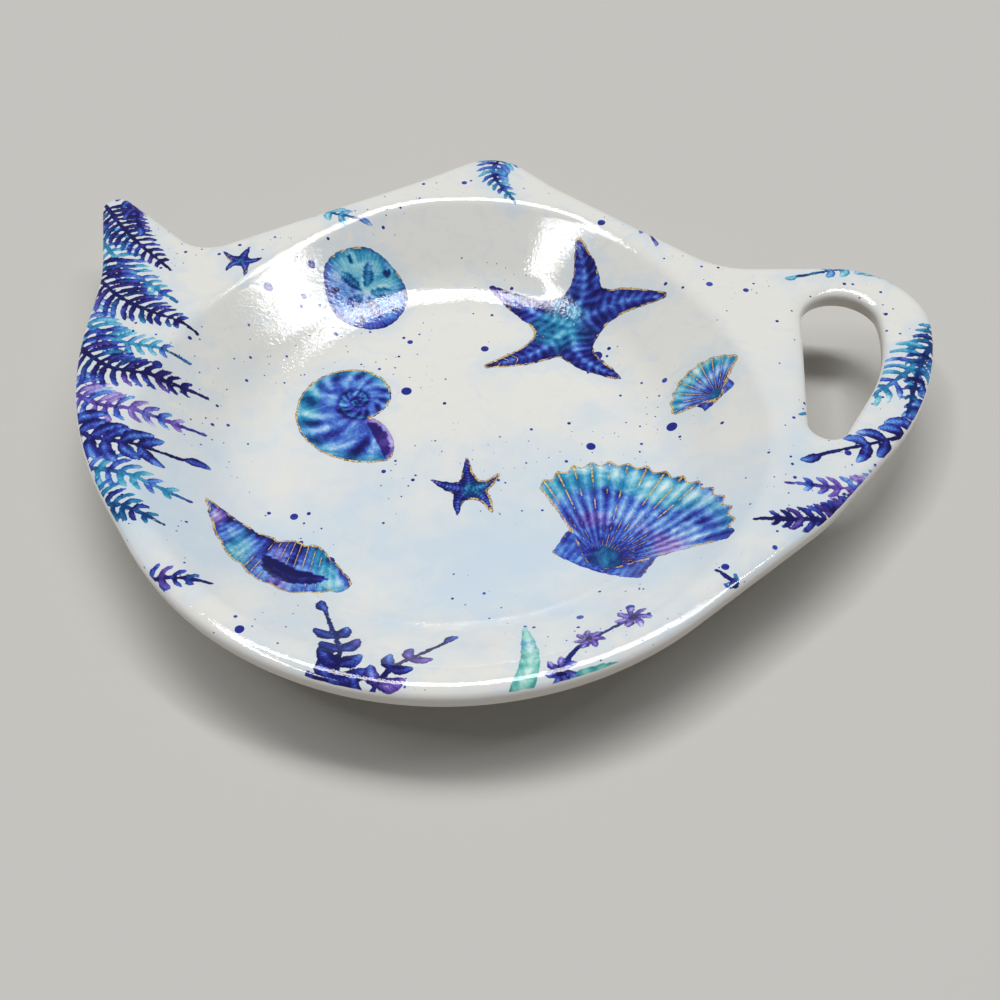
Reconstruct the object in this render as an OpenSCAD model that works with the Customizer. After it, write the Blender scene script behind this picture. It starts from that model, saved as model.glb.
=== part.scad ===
// Tea bag rest in the shape of a teapot: a shallow well in a flat rim, which runs out into the
// spout, the lid and the handle. It is moulded in one piece. A printed sheet and a clear glaze
// are pressed onto its upper face, and cover the rim and the well from edge to edge.
// The dish stands on a foot ring on the plane z = 0, with the origin under the middle of its
// plan. The lid points to +Y and the handle to +X.

/* [Teapot outline, measured from the middle of the well] */
// Radius of the round belly
belly_r = 46.4; // [44:0.2:50]
// Height of the lid's peak, before it is rounded
lid_peak = 56.1; // [54:0.1:62]
// Distance to the outer side of the handle
handle_out = 67.4; // [63:0.1:72]
// Height of the handle's upper corner, before it is rounded
handle_top = 31.2; // [29:0.1:35]
// Distance to the tip of the spout, before it is rounded
spout_out = 63.2; // [60:0.1:68]
// Height of the tip of the spout, before it is rounded
spout_top = 43.3; // [40:0.1:47]

/* [Corner radii of the outline] */
// Top of the lid
lid_r = 7.3; // [4:0.1:8]
// Hollow on each side of the lid's top
neck_r = 9.9; // [6:0.1:14]
// Valley between the lid and the handle
handle_valley_r = 13; // [8:0.5:15]
// Upper corner of the handle
handle_corner_r = 11.9; // [8:0.1:13]
// Bend between the belly and the handle
handle_root_r = 35; // [20:1:40]
// Bend in the handle's outer side
handle_bend_r = 43; // [30:1:50]
// Valley between the lid and the spout
spout_valley_r = 6; // [4:0.1:9]
// Tip of the spout
tip_r = 2.5; // [1.8:0.1:3]
// Hollow in the spout's outer side
spout_hollow_r = 43; // [20:1:60]
// Hip between the spout and the belly
hip_r = 60; // [40:1:70]

/* [Well] */
// Width of the rim round the belly
rim_w = 1.8; // [1.6:0.1:3]
// Depth of the well
well_depth = 9; // [7:0.1:11]
// Steepest slope of the well's wall, in degrees
wall_tilt = 35; // [32:1:42]
// Radius of the rounded lip of the well
lip_r = 4.2; // [3.6:0.1:6]
// Radius of the hollow between the well's wall and its floor
floor_r = 16; // [12:0.5:18]
// Radius of the well's mouth under the lid
mouth_peak_r = 34; // [28:0.5:36]
// Radius of the well's mouth beside the spout and the handle
mouth_side_r = 32.5; // [28:0.5:35]

/* [Wall and edge] */
// Thickness of the moulded wall with its print and glaze
wall_t = 3.2; // [2.8:0.1:3.6]
// Radius of the rounded edges
edge_r = 1.2; // [0.9:0.05:1.2]
// Thickness of the printed sheet
foil_t = 0.2; // [0.15:0.05:0.3]
// Thickness of the clear glaze
glaze_t = 0.2; // [0.15:0.05:0.3]

/* [Handle hole] */
// Width of the handle's band on its outer side
side_band_w = 7.7; // [6.5:0.1:9]
// Width of the handle's band along its top
top_band_w = 5.7; // [5:0.1:7]
// Distance from the middle of the well to the lower end of the hole's inner side
hole_in = 46.7; // [46.5:0.1:48.4]
// Depth of the hole's lower point under the middle of the well, before it is rounded
hole_low = 13; // [10:0.1:14]
// How far the hole's inner side leans out from its lower end to its upper end
hole_lean = 1.6; // [0:0.1:2.4]
// How far the hole's outer side turns back in above its bend
hole_turn = 1; // [0:0.1:2]
// How much lower the hole's top is on its inner side
hole_drop = 3.2; // [0:0.1:4]
// Upper inner corner of the hole
hole_inner_r = 6; // [4:0.1:6.2]
// Upper outer corner of the hole
hole_outer_r = 5.2; // [4:0.1:5.4]
// Bend in the hole's outer side
hole_bend_r = 27.5; // [16:0.5:28]
// Lower point of the hole
hole_point_r = 2.6; // [1.5:0.1:3]

/* [Foot ring] */
// Outer radius of the foot ring
foot_r = 25; // [22:0.5:27]
// Width of the face that the dish stands on
foot_face_w = 1.6; // [1.2:0.1:2.4]
// Height of the foot ring under the floor
foot_h = 1.5; // [1:0.1:2.5]
// Slope of the foot ring's sides, in degrees from upright
foot_draft = 20; // [8:1:30]

/* [Hidden] */

// Corners of the outline, as shares of their group's two reaches from the middle of the well
handle_shares = [[0.721, -0.574], [0.972, 0.143], [1, 1], [0.547, 0.916]];
lid_shares = [[0.196, 0.838], [0.018, 1], [-0.195, 0.837]];
spout_shares = [[-0.665, 0.6], [-1, 1], [-0.874, 0.444], [-0.826, -0.207]];
// Corners of the well's mouth: the sides as shares of the belly's radius, the peak of the lid's
mouth_side_share = 0.985;
mouth_shoulder_share = 0.22;
mouth_peak_share = 1.086;
// Height of the bend in the hole's outer side, as a share of the handle's height
hole_bend_share = 0.341;

// An arc has a point for each turn of this many degrees
arc_step = 5;
edge_steps = 4;
lip_steps = 3;
floor_steps = 5;
// How far a cutter runs past the face that it cuts
overrun = 1;
// Points that lie closer than this are one point
same_point = 0.001;

floor_z = foot_h + wall_t;
rim_z = floor_z + well_depth;
body_depth = glaze_t + foil_t;

function turned(v, angle) = [v.x * cos(angle) - v.y * sin(angle), v.x * sin(angle) + v.y * cos(angle)];
function reversed(list) = [for (i = [len(list) - 1:-1:0]) list[i]];
function middle(values) = (min(values) + max(values)) / 2;

// A loop is a polygon with rounded corners [x, y, radius], in anticlockwise order
function side(corners, i) = let (n = len(corners), a = corners[(i + n) % n], b = corners[(i + 1) % n])
    [b.x - a.x, b.y - a.y];
function turn(corners, i) = let (a = side(corners, i - 1), b = side(corners, i))
    atan2(a.x * b.y - a.y * b.x, a * b);
// The stretch of each side that the rounding of corner i takes
function stretch(corners, i) = let (n = len(corners), k = (i + n) % n)
    corners[k][2] * tan(abs(turn(corners, k)) / 2);
// Roundings that meet on one side share it, so that they never cross
function fitted(corners, i) = min(1,
    norm(side(corners, i - 1)) / (stretch(corners, i - 1) + stretch(corners, i)),
    norm(side(corners, i)) / (stretch(corners, i) + stretch(corners, i + 1)));
// The rounding of corner i, as points [x, y, outward x, outward y]
function rounding(corners, i) = let (
        bend = turn(corners, i), share = fitted(corners, i), r = corners[i][2] * share * sign(bend),
        along = side(corners, i - 1) / norm(side(corners, i - 1)), outward = [along.y, -along.x],
        start = [corners[i].x, corners[i].y] - along * stretch(corners, i) * share,
        centre = start - outward * r, steps = ceil(abs(bend) / arc_step))
    [for (k = [0:steps]) let (away = turned(outward, bend * k / steps), p = centre + away * r)
        [p.x, p.y, away.x, away.y]];
// Where two roundings meet on one side, their common point is kept once
function rounded(corners) = let (points = [for (i = [0:len(corners) - 1]) each rounding(corners, i)], n = len(points))
    [for (i = [0:n - 1]) let (p = points[i], q = points[(i + 1) % n])
        if (norm([q[0] - p[0], q[1] - p[1]]) > same_point) p];
function inset(loop, by) = [for (p = loop) [p[0] - by * p[2], p[1] - by * p[3]]];

// Angle at which a straight side from the point p touches a circle round the middle of the well
function touch_angle(p, r, hand) = atan2(p.y, p.x) + hand * acos(r / norm(p));
function corner_between(r, from, to) = let (half = (to - from) / 2, reach = r / cos(half))
    [reach * cos(from + half), reach * sin(from + half), r];
// The round lower part of a loop, between a point on its left and one on its right
function belly(r, left, right) = let (low = 270, from = (touch_angle(left, r, 1) + 360) % 360)
    [corner_between(r, from, low), corner_between(r, low, touch_angle(right, r, -1) + 360)];

handle_at = [for (s = handle_shares) [s.x * handle_out, s.y * handle_top]];
lid_at = [for (s = lid_shares) s * lid_peak];
spout_at = [for (s = spout_shares) [s.x * spout_out, s.y * spout_top]];
mouth_at = [mouth_side_share * belly_r, mouth_shoulder_share * belly_r];
function corner(at, r) = [at.x, at.y, r];

outline = rounded(concat(belly(belly_r, spout_at[3], handle_at[0]), [
    corner(handle_at[0], handle_root_r),
    corner(handle_at[1], handle_bend_r),
    corner(handle_at[2], handle_corner_r),
    corner(handle_at[3], handle_valley_r),
    corner(lid_at[0], neck_r),
    corner(lid_at[1], lid_r),
    corner(lid_at[2], neck_r),
    corner(spout_at[0], spout_valley_r),
    corner(spout_at[1], tip_r),
    corner(spout_at[2], spout_hollow_r),
    corner(spout_at[3], hip_r)]));
mouth = rounded(concat(belly(belly_r - rim_w, [-mouth_at.x, mouth_at.y], mouth_at), [
    corner(mouth_at, mouth_side_r),
    [0, mouth_peak_share * lid_peak, mouth_peak_r],
    [-mouth_at.x, mouth_at.y, mouth_side_r]]));
hole_out = handle_out - side_band_w;
hole_top = handle_top - top_band_w;
hole = rounded([
    [hole_in, -hole_low, hole_point_r],
    [hole_out, hole_bend_share * handle_top, hole_bend_r],
    [hole_out - hole_turn, hole_top, hole_outer_r],
    [hole_in + hole_lean, hole_top - hole_drop, hole_inner_r]]);
plan_middle = [middle([for (p = outline) p[0]]), middle([for (p = outline) p[1]])];

// How far the rounded edge stands in from the outline, at a depth under the rim's upper face
function edge_inset(depth) = edge_r - sqrt(edge_r ^ 2 - (edge_r - depth) ^ 2);
// Sections of the rim's edge, from the moulding's upper face down, as [inset, height]
upper_start = acos((edge_r - body_depth) / edge_r);
edge_sections = concat(
    [for (k = [0:edge_steps]) let (a = upper_start + (90 - upper_start) * k / edge_steps)
        [edge_r * (1 - sin(a)), rim_z - edge_r * (1 - cos(a))]],
    [for (k = [0:edge_steps]) let (a = 90 * k / edge_steps)
        [edge_r * (1 - cos(a)), rim_z - wall_t + edge_r * (1 - sin(a))]]);

// How far the flat floor stands in from the mouth: the lip, the straight wall and the hollow
straight_fall = well_depth - (lip_r + floor_r) * (1 - cos(wall_tilt));
floor_inset = (lip_r + floor_r) * sin(wall_tilt) + straight_fall / tan(wall_tilt);
// Sections of the well at a depth under its surface, measured square to it, from the mouth down
function well_sections(depth) = concat(
    [for (k = [0:lip_steps]) let (a = wall_tilt * k / lip_steps)
        [(lip_r - depth) * sin(a), rim_z - lip_r + (lip_r - depth) * cos(a)]],
    [for (k = [floor_steps:-1:0]) let (a = wall_tilt * k / floor_steps)
        [floor_inset - (floor_r + depth) * sin(a), floor_z + floor_r - (floor_r + depth) * cos(a)]]);

// A solid with the given sections of one loop, from its top down
module lofted(loop, sections) {
    n = len(loop);
    m = len(sections);
    polyhedron(
        points = [for (s = sections) each [for (p = inset(loop, s[0])) [p.x, p.y, s[1]]]],
        faces = concat(
            [[for (i = [n - 1:-1:0]) i], [for (i = [0:n - 1]) (m - 1) * n + i]],
            [for (k = [0:m - 2]) each [for (i = [0:n - 1]) let (a = k * n, b = a + n, j = (i + 1) % n)
                each [[a + i, a + j, b + j], [a + i, b + j, b + i]]]]));
}

module placed() {
    translate([-plan_middle.x, -plan_middle.y, 0]) children();
}

// The hollow of the well down to a depth under its surface, running up past the rim
module well_hollow(depth) {
    lofted(mouth, concat([[0, rim_z + overrun]], well_sections(depth)));
}

// All that lies deeper than a depth under the upper face, from a base height up
module under(depth, stand_in, base) {
    difference() {
        translate([0, 0, base]) linear_extrude(rim_z - depth - base)
            polygon(inset(outline, stand_in));
        well_hollow(depth);
    }
}

// A sheet on the rim and in the well, between two depths under the upper face
module layer(upper, lower) {
    stand_in = edge_inset((upper + lower) / 2);
    difference() {
        under(upper, stand_in, 0);
        under(lower, -overrun, -overrun);
        translate([0, 0, rim_z - lower - overrun]) linear_extrude(lower - upper + 2 * overrun)
            polygon(inset(hole, -stand_in));
    }
}

// The hole's cutter widens above and below, which leaves a rounded edge round the hole
module hole_cutter() {
    flare = [for (s = edge_sections) [-s[0], s[1]]];
    top = flare[0];
    low = flare[len(flare) - 1];
    lofted(hole, concat([top + [0, overrun]], flare, [low - [0, overrun]]));
}

module foot_ring() {
    face_in = foot_r - foot_face_w;
    root_h = foot_h + wall_t / 2;
    flare = root_h * tan(foot_draft);
    rotate_extrude($fn = 120)
        polygon([[face_in, 0], [foot_r, 0], [foot_r + flare, root_h], [face_in - flare, root_h]]);
}

module dish_body() {
    color("ghostwhite") placed() {
        difference() {
            union() {
                lofted(outline, edge_sections);
                lofted(mouth, concat([[0, rim_z - wall_t / 2]], well_sections(wall_t)));
            }
            well_hollow(body_depth);
            hole_cutter();
        }
        foot_ring();
    }
}

module decor_foil() {
    color("lightsteelblue") placed() layer(glaze_t, body_depth);
}

module clear_glaze() {
    color("aliceblue", 0.4) placed() layer(0, glaze_t);
}

dish_body();
decor_foil();
clear_glaze();
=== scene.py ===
import bpy
import numpy as np
from mathutils import Matrix, Vector, geometry


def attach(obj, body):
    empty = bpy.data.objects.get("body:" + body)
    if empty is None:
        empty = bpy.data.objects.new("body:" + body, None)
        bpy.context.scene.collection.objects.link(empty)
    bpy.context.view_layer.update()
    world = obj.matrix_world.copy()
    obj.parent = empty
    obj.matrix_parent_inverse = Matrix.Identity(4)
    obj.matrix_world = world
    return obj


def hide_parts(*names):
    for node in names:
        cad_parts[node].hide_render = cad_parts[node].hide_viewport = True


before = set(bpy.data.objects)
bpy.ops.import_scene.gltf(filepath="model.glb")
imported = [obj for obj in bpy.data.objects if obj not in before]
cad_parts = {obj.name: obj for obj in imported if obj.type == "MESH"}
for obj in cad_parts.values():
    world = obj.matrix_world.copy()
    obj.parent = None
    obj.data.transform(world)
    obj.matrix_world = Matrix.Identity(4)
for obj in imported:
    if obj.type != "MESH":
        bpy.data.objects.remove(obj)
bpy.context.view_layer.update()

# Sizes in millimetres. x and y are measured from the middle of the well, z from the rim's face
MM = 0.001
PLAN_MIDDLE = np.array([2.9122, 3.7488])
RIM_Z, FOOT_H, WALL = 13.7, 1.5, 3.2
BELLY_R, RIM_W, DEPTH = 46.4, 1.8, 9.0
TILT, LIP_R, FLOOR_R = np.radians(35.0), 4.2, 16.0
HANDLE, LID, SPOUT = (67.4, 31.2), 56.1, (63.2, 43.3)
# Radii that round the corners of the handle, the lid and the spout, in their order along the outline
HANDLE_R, LID_R, SPOUT_R = (35, 43, 11.9, 13), (9.9, 7.3, 9.9), (6, 2.5, 43, 60)
# The mouth's arcs up its left side, as [heading where it starts in degrees, radius], and the last heading
MOUTH_ARCS, MOUTH_LAST = [(105, 28.4), (80, 49.2), (62, 74.3), (48, 54.2), (34, 25.8)], 18
# The handle's hole: its four sides, how far its inner side leans out, its top falls and its outer corner
# stands back, where its outer side bends as a share of the handle's height, and its corners' radii
HOLE_IN, HOLE_LOW, HOLE_OUT, HOLE_TOP = 46.7, 13.0, 59.7, 25.5
HOLE_LEAN, HOLE_DROP, HOLE_TURN, HOLE_BEND, HOLE_R = 1.6, 3.2, 1.0, 0.341, (2.6, 27.5, 5.2, 6)
FOOT_R, FOOT_FACE, FOOT_EDGE_R, FOOT_DRAFT = 25.0, 1.6, 0.35, np.radians(20)
# How far the moulding's upper face lies under the printed one
PRINT_T = 0.3
# The upper edge rolls over in a wide soft shoulder as far as SHOULDER_END, then in a tighter round
SHOULDER_R, HOLE_SHOULDER_R, SHOULDER_END = 3.2, 5.0, np.radians(20.0)
ROUND_R, LOW_R = 1.0, 1.2
# Arcs have steps of ARC degrees, those of the mouth ARC_POINTS points and its circle CIRCLE_POINTS. A loop's
# points lie at least APART from one another, and mesh points that agree to MERGED decimals are one
ARC, ARC_POINTS, CIRCLE_POINTS, APART, MERGED = 0.5, 40, 360, 1e-3, 4


# Outline, mouth and hole: loops of points [x, y, outward x, outward y]

def single(loop):
    """The loop without the points that lie on their next one."""
    gap = np.linalg.norm(np.roll(loop, -1, 0)[:, :2] - loop[:, :2], axis=1)
    return loop[gap > APART]


def rounded(corners):
    """A polygon's corners, each rounded by an arc of its radius. An arc has points at steps of ARC degrees,
    with their outward directions, and two arcs that meet on one side share that side in proportion."""
    corners = np.array(corners, float)
    place, radius = corners[:, :2], corners[:, 2]
    side = np.roll(place, -1, 0) - place
    length = np.linalg.norm(side, axis=1)
    before = np.roll(side, 1, 0)
    bend = np.arctan2(before[:, 0] * side[:, 1] - before[:, 1] * side[:, 0], (before * side).sum(1))
    stretch = radius * np.tan(abs(bend) / 2)
    fit = np.minimum(np.roll(length, 1) / (np.roll(stretch, 1) + stretch),
                     length / (stretch + np.roll(stretch, -1))).clip(0, 1)
    arcs = []
    for i in range(len(corners)):
        r = radius[i] * fit[i] * np.sign(bend[i])
        along = before[i] / np.linalg.norm(before[i])
        outward = np.array([along[1], -along[0]])
        centre = place[i] - along * stretch[i] * fit[i] - outward * r
        a = np.linspace(0, bend[i], int(np.ceil(abs(np.degrees(bend[i])) / ARC)) + 1)
        away = np.c_[outward[0] * np.cos(a) - outward[1] * np.sin(a),
                     outward[0] * np.sin(a) + outward[1] * np.cos(a)]
        arcs.append(np.c_[centre + away * r, away])
    return single(np.vstack(arcs))


def belly(r, left, right):
    """The two corners of a loop's round lower part. It touches the circle of radius r, and its ends run
    towards the points left and right."""
    def touch(p, hand):
        return np.arctan2(p[1], p[0]) + hand * np.arccos(r / np.hypot(*p))
    low = np.radians(270)
    ends = [(touch(left, 1) % (2 * np.pi), low), (low, touch(right, -1) + 2 * np.pi)]
    return [(r / np.cos((b - a) / 2) * np.cos((a + b) / 2), r / np.cos((b - a) / 2) * np.sin((a + b) / 2), r)
            for a, b in ends]


def arched(r, arcs, last):
    """A loop that is a circle of radius r below. Above it arcs follow one another up its left side, each
    [heading where it starts in degrees, radius], and the arc from the last heading to 0 ends in the middle.
    Its radius is the one that brings it there, and the right side mirrors the left."""
    heading = np.radians([arc[0] for arc in arcs] + [last, 0])
    spot = r * np.array([-np.sin(heading[0]), np.cos(heading[0])])
    left = []
    for k, a in enumerate(heading[:-1]):
        turn = np.linspace(a, heading[k + 1], ARC_POINTS)
        out = np.c_[-np.sin(turn), np.cos(turn)]
        radius = arcs[k][1] if k < len(arcs) else -spot[0] / np.sin(a)
        left.append(np.c_[spot + radius * (out - out[0]), out])
        spot = left[-1][-1, :2]
    left = np.vstack(left)
    turn = np.linspace(heading[0] + np.pi / 2, 2.5 * np.pi - heading[0], CIRCLE_POINTS)
    below = np.c_[r * np.cos(turn), r * np.sin(turn), np.cos(turn), np.sin(turn)]
    return single(np.vstack([below, left * [-1, 1, -1, 1], left[::-1]]))


def spaced(loop, gap):
    """The loop with points at equal steps of about gap along it, and unit directions blended from its own."""
    closed = np.vstack([loop, loop[:1]])
    run = np.r_[0, np.cumsum(np.linalg.norm(np.diff(closed[:, :2], axis=0), axis=1))]
    at = np.linspace(0, run[-1], int(run[-1] / gap) + 1)[:-1]
    points = np.stack([np.interp(at, run, closed[:, k]) for k in range(4)], 1)
    points[:, 2:] /= np.linalg.norm(points[:, 2:], axis=1)[:, None]
    return points


# Corners as shares of their group's reach from the middle of the well
handle_at = np.array([(0.721, -0.574), (0.972, 0.143), (1, 1), (0.547, 0.916)]) * HANDLE
lid_at = np.array([(0.196, 0.838), (0.018, 1), (-0.195, 0.837)]) * LID
spout_at = np.array([(-0.665, 0.6), (-1, 1), (-0.874, 0.444), (-0.826, -0.207)]) * SPOUT
outline = rounded(np.vstack([belly(BELLY_R, spout_at[-1], handle_at[0]), np.c_[handle_at, HANDLE_R],
                             np.c_[lid_at, LID_R], np.c_[spout_at, SPOUT_R]]))
mouth = arched(BELLY_R - RIM_W, MOUTH_ARCS, MOUTH_LAST)
hole_at = np.array([(HOLE_IN, -HOLE_LOW), (HOLE_OUT, HOLE_BEND * HANDLE[1]), (HOLE_OUT - HOLE_TURN, HOLE_TOP),
                    (HOLE_IN + HOLE_LEAN, HOLE_TOP - HOLE_DROP)])
hole = rounded(np.c_[hole_at, HOLE_R])


def inside(loop, x, y):
    """Distance from the loop inwards, negative outside: the nearest of the loop's points gives it, measured
    along that point's outward direction. Every eighth point is tried first, then those next to the best."""
    skip, batch = 8, 20000
    rough = loop[::skip]
    best = np.empty(len(x), int)
    for part in np.array_split(np.arange(len(x)), max(1, len(x) // batch)):
        d2 = (x[part, None] - rough[:, 0]) ** 2 + (y[part, None] - rough[:, 1]) ** 2
        best[part] = d2.argmin(1) * skip
    near = (best[:, None] + np.arange(-skip, skip + 1)) % len(loop)
    d2 = (x[:, None] - loop[near, 0]) ** 2 + (y[:, None] - loop[near, 1]) ** 2
    k = near[np.arange(len(x)), d2.argmin(1)]
    return (loop[k, 0] - x) * loop[k, 2] + (loop[k, 1] - y) * loop[k, 3]


# The well's profile: how far it falls at a distance in from its mouth

STRAIGHT = DEPTH - (LIP_R + FLOOR_R) * (1 - np.cos(TILT))
FLOOR_IN = (LIP_R + FLOOR_R) * np.sin(TILT) + STRAIGHT / np.tan(TILT)


def well_fall(s):
    """Depth at distance s from the mouth: a lip arc, a straight slope, a hollow arc, then the flat floor."""
    s = s.clip(0, FLOOR_IN)
    lip, hollow = LIP_R * np.sin(TILT), FLOOR_IN - FLOOR_R * np.sin(TILT)
    on_lip = LIP_R - np.sqrt(LIP_R ** 2 - s.clip(0, lip) ** 2)
    slope = LIP_R * (1 - np.cos(TILT)) + (s - lip) * np.tan(TILT)
    on_floor = DEPTH - FLOOR_R + np.sqrt(FLOOR_R ** 2 - (FLOOR_IN - s).clip(0, FLOOR_R * np.sin(TILT)) ** 2)
    return np.where(s < lip, on_lip, np.where(s < hollow, slope, on_floor))


def well_sections(depth, lips, hollows):
    """The profile as [inset, height] from the mouth in, at a depth under the surface and square to it. lips
    and hollows are the numbers of points on its two arcs."""
    a, b = np.linspace(0, TILT, lips), np.linspace(TILT, 0, hollows)
    lip = np.c_[(LIP_R - depth) * np.sin(a), -LIP_R + (LIP_R - depth) * np.cos(a)]
    hollow = np.c_[FLOOR_IN - (FLOOR_R + depth) * np.sin(b),
                   -DEPTH + FLOOR_R - (FLOOR_R + depth) * np.cos(b)]
    return np.vstack([lip, hollow])


# Meshes

def solid(name, points, faces):
    """A smooth mesh piece, in the part's frame, from points in millimetres and an array of triangles or of
    quads."""
    points = points + [*-PLAN_MIDDLE, RIM_Z]
    faces = np.asarray(faces, np.int32)
    corners = faces.shape[1]
    mesh = bpy.data.meshes.new(name)
    mesh.vertices.add(len(points))
    mesh.vertices.foreach_set("co", (points * MM).astype(np.float32).ravel())
    mesh.loops.add(faces.size)
    mesh.loops.foreach_set("vertex_index", faces.ravel())
    mesh.polygons.add(len(faces))
    mesh.polygons.foreach_set("loop_start", np.arange(0, faces.size, corners, dtype=np.int32))
    mesh.polygons.foreach_set("use_smooth", np.ones(len(faces), bool))
    mesh.update(calc_edges=True)
    piece = bpy.data.objects.new(name, mesh)
    bpy.context.collection.objects.link(piece)
    return piece


def carried(loop, sections, start=0):
    """Points and quads of a profile [inset, height] carried round a loop; quads face outwards where the
    profile runs downwards. start is the number of the first point."""
    n, m = len(loop), len(sections)
    flat = loop[None, :, :2] - sections[:, 0, None, None] * loop[None, :, 2:]
    points = np.concatenate([flat, np.broadcast_to(sections[:, 1, None, None], (m, n, 1))], 2).reshape(-1, 3)
    k, i = np.meshgrid(np.arange(m - 1), np.arange(n), indexing="ij")
    j = (i + 1) % n
    quads = np.stack([k * n + i, (k + 1) * n + i, (k + 1) * n + j, k * n + j], -1).reshape(-1, 4)
    return points, quads + start


def halved(quads):
    """Two triangles for each quad."""
    return np.vstack([quads[:, [0, 1, 2]], quads[:, [0, 2, 3]]])


def merged(points, faces):
    """Points that are the same to MERGED decimals made one, and the faces on them."""
    _, first, same = np.unique(np.round(points, MERGED), axis=0, return_index=True, return_inverse=True)
    return points[first], same.ravel()[faces]


def capped(loops, height, up):
    """Triangles of the flat face between loops: the first holds the others. The points are the loops' own."""
    rings = [np.c_[loop[:, :2], np.zeros(len(loop))].tolist() for loop in loops]
    faces = np.array(geometry.tessellate_polygon(rings), np.int32)
    flat = np.vstack([loop[:, :2] for loop in loops])
    a, b, c = flat[faces[:, 0]], flat[faces[:, 1]], flat[faces[:, 2]]
    turned = ((b - a)[:, 0] * (c - a)[:, 1] - (b - a)[:, 1] * (c - a)[:, 0] > 0) != up
    faces[turned] = faces[turned][:, ::-1]
    return np.c_[flat, np.full(len(flat), height)], faces


def sheet_over(x_range, y_range, gap, keep, finish):
    """A sheet of even triangles over the plane, cut along the line where keep(x, y) is zero. A triangle that
    the line crosses is cut at its edges' crossings, and finish(x, y) gives the height."""
    tall = np.sqrt(0.75)  # an even triangle's height for a side of one
    rows = int((y_range[1] - y_range[0]) / (gap * tall)) + 2
    cols = int((x_range[1] - x_range[0]) / gap) + 2 + rows // 2
    j, i = np.meshgrid(np.arange(rows), np.arange(cols), indexing="ij")
    x = (x_range[0] + gap * (i - rows // 2 + j / 2)).ravel()
    y = (y_range[0] + gap * tall * j).ravel()
    a = (j * cols + i)[:-1, :-1].ravel()
    tris = np.vstack([np.c_[a, a + 1, a + cols], np.c_[a + 1, a + cols + 1, a + cols]])
    near = (x > x_range[0] - gap) & (x < x_range[1] + gap)
    value = np.full(len(x), -gap)
    value[near] = keep(x[near], y[near])
    least = gap * 0.02  # no cut runs nearer than this to a point
    value[abs(value) < least] = least
    signs = (value[tris] > 0).sum(1)
    whole = tris[signs == 3]
    points, pieces, count = [np.c_[x, y]], [whole], len(x)
    for inner in (1, 2):
        cut = tris[signs == inner]
        odd = (value[cut] > 0) if inner == 1 else (value[cut] <= 0)
        turn = odd.argmax(1)
        p, q, r = (cut[np.arange(len(cut)), (turn + k) % 3] for k in range(3))
        ends = []
        for other in (q, r):
            t = (value[p] / (value[p] - value[other]))[:, None]
            points.append(np.c_[x[p], y[p]] * (1 - t) + np.c_[x[other], y[other]] * t)
            ends.append(count + np.arange(len(cut)))
            count += len(cut)
        s, t = ends
        pieces += [np.c_[p, s, t]] if inner == 1 else [np.c_[s, q, r], np.c_[s, r, t]]
    flat, tris = np.vstack(points), np.vstack(pieces)
    used, tris = np.unique(tris, return_inverse=True)
    flat, tris = merged(flat[used], tris.reshape(-1, 3))
    tris = tris[(tris[:, 0] != tris[:, 1]) & (tris[:, 1] != tris[:, 2]) & (tris[:, 2] != tris[:, 0])]
    return np.c_[flat, finish(flat[:, 0], flat[:, 1])], tris


# The moulding: edge, underside, bowl and foot ring

def upper_edge(shoulder, turns):
    """The upper edge's roll as [inset, height] at turns from 0, flat, to a right angle, upright. Up to the
    shoulder's end the radius is the shoulder's, and past it the tighter round's."""
    soft, tight = np.minimum(turns, SHOULDER_END), np.maximum(turns, SHOULDER_END)
    inset = shoulder * (np.sin(SHOULDER_END) - np.sin(soft)) + ROUND_R * (1 - np.sin(tight))
    drop = shoulder * (1 - np.cos(soft)) + ROUND_R * (np.cos(SHOULDER_END) - np.cos(tight))
    return np.c_[inset, -drop]


def edge_width(shoulder):
    """How far in from the outline the roll starts."""
    return shoulder * np.sin(SHOULDER_END) + ROUND_R * (1 - np.sin(SHOULDER_END))


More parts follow.
